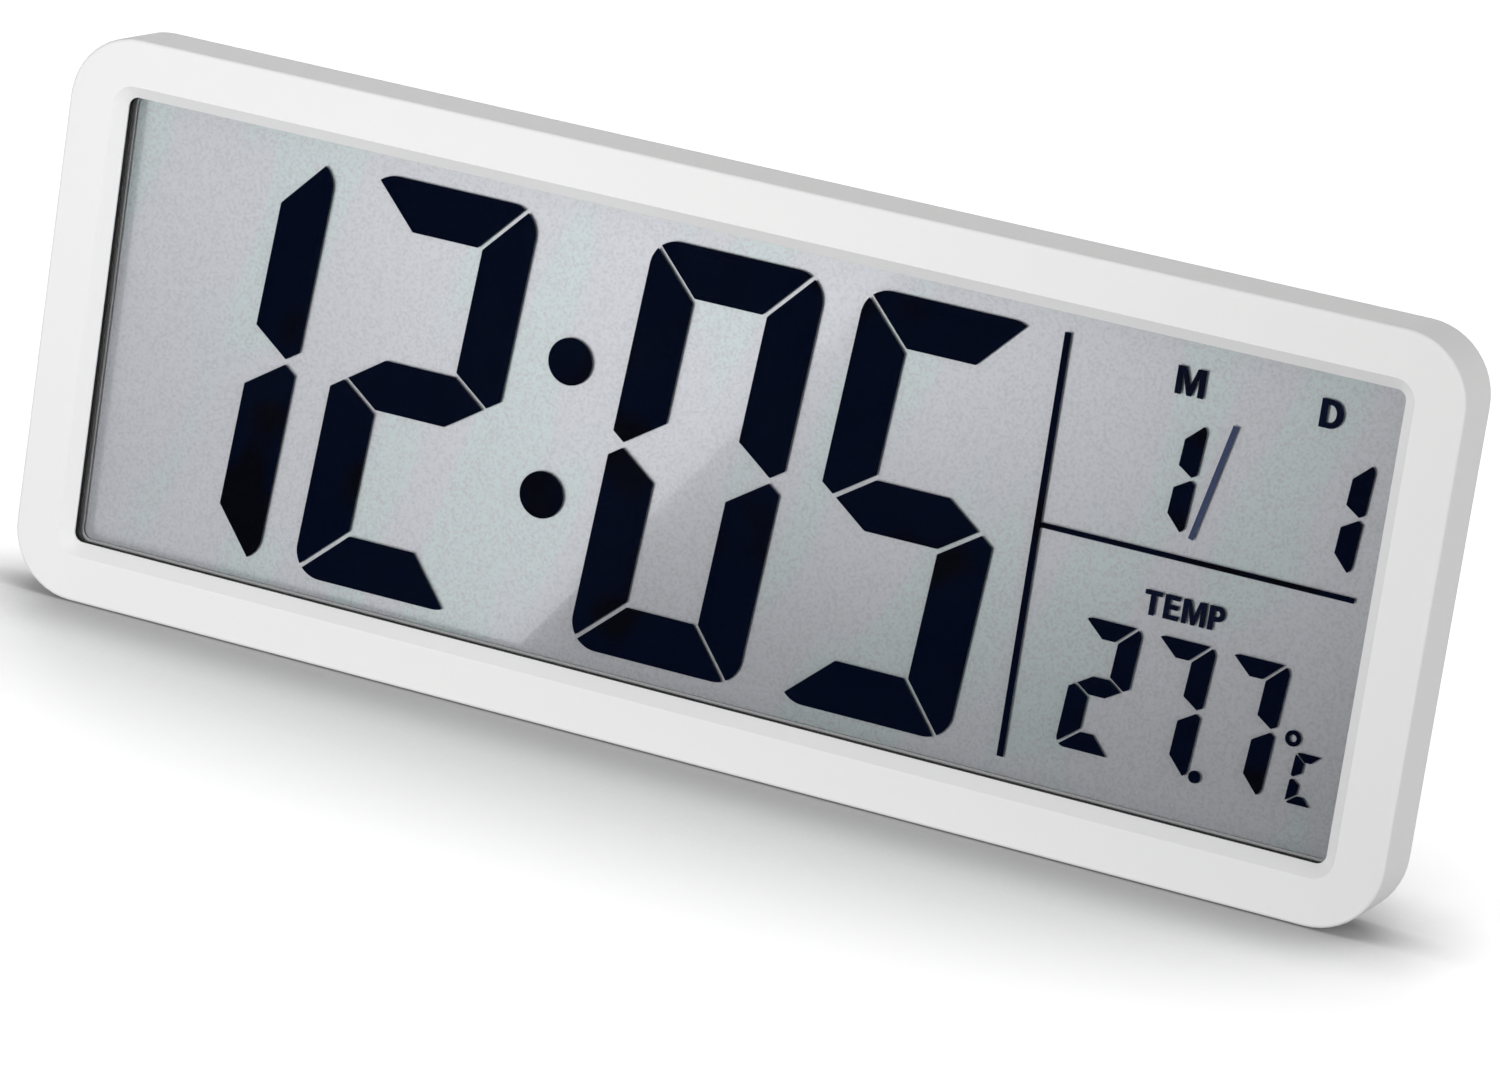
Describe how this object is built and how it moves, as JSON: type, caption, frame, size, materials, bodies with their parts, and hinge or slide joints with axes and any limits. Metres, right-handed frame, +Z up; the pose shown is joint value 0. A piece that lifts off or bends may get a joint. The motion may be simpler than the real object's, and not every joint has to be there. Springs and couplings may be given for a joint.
{
  "type": "digital wall clock",
  "caption": "Wide white digital clock with a large segment display for time, date and temperature, rear buttons, battery door, fold-out stand and keyholes for hanging.",
  "frame": {"origin": "middle of the box's base, on the surface that the clock stands on", "axes": "+X to the viewer's right, +Y from the display towards the wall, +Z up"},
  "size_m": [0.36, 0.027, 0.141],
  "materials": {
    "case_white": "satin",
    "cover_white": "matte",
    "door_white": "matte",
    "stand_white": "matte",
    "button_grey": "matte",
    "window_clear": "polished",
    "gasket_black": "matte",
    "film_clear": "gloss",
    "cell_glass": "polished",
    "seal_grey": "matte",
    "segment_navy": "gloss",
    "reflector_grey": "satin",
    "carrier_white": "matte",
    "strip_pink": "matte",
    "board_green": "satin",
    "epoxy_black": "gloss",
    "switch_black": "satin",
    "bead_dark": "satin",
    "ceramic_tan": "satin",
    "can_nickel": "polished",
    "screw_steel": "satin",
    "contact_nickel": "satin",
    "pin_steel": "polished",
    "cell_jacket": "gloss",
    "lead_red": "satin",
    "lead_black": "satin"
  },
  "bodies": {
    "case": {"front_frame": "case_white", "back_cover": "cover_white", "window_lens": "window_clear", "display_gasket": "gasket_black", "front_polariser": "film_clear", "lcd_front_glass": "cell_glass", "lcd_rear_glass": "cell_glass", "lcd_seal": "seal_grey", "hour_digits": "segment_navy", "minute_digits": "segment_navy", "colon_dots": "segment_navy", "divider_lines": "segment_navy", "date_digits": "segment_navy", "temperature_digits": "segment_navy", "unit_sign": "segment_navy", "rear_reflector": "reflector_grey", "lcd_holder": "carrier_white", "zebra_strip": "strip_pink", "circuit_board": "board_green", "chip_blob": "epoxy_black", "tact_switches": "switch_black", "thermistor": "bead_dark", "ceramic_capacitors": "ceramic_tan", "crystal_can": "can_nickel", "holder_screws": "screw_steel", "case_screws": "screw_steel", "board_screws": "screw_steel", "spring_plate": "contact_nickel", "button_plate": "contact_nickel", "bridge_plate": "contact_nickel", "battery_springs": "contact_nickel", "stand_pin": "pin_steel", "cell_upper": "cell_jacket", "cell_lower": "cell_jacket", "lead_plus": "lead_red", "lead_minus": "lead_black"},
    "door": {"battery_door": "door_white"},
    "down_button": {"down_button": "button_grey"},
    "set_button": {"set_button": "button_grey"},
    "stand": {"stand_leg": "stand_white"},
    "unit_button": {"unit_button": "button_grey"},
    "up_button": {"up_button": "button_grey"}
  },
  "joints": [
    {"name": "set_press", "type": "slide", "parent": "case", "child": "set_button", "axis": [0, -1, 0], "range_m": [0, 0.0006], "stiffness_N_per_m": 1500},
    {"name": "up_press", "type": "slide", "parent": "case", "child": "up_button", "axis": [0, -1, 0], "range_m": [0, 0.0006], "stiffness_N_per_m": 1500},
    {"name": "down_press", "type": "slide", "parent": "case", "child": "down_button", "axis": [0, -1, 0], "range_m": [0, 0.0006], "stiffness_N_per_m": 1500},
    {"name": "unit_press", "type": "slide", "parent": "case", "child": "unit_button", "axis": [0, -1, 0], "range_m": [0, 0.0006], "stiffness_N_per_m": 1500},
    {"name": "stand_fold", "type": "hinge", "parent": "case", "child": "stand", "pos_m": [0, 0.01098, 0.076], "axis": [1, 0, 0], "range_deg": [0, 30]},
    {"name": "door_open", "type": "hinge", "parent": "case", "child": "door", "pos_m": [0.09948, 0.01353, 0.02865], "axis": [-1, 0, 0], "range_deg": [0, 75]}
  ]
}
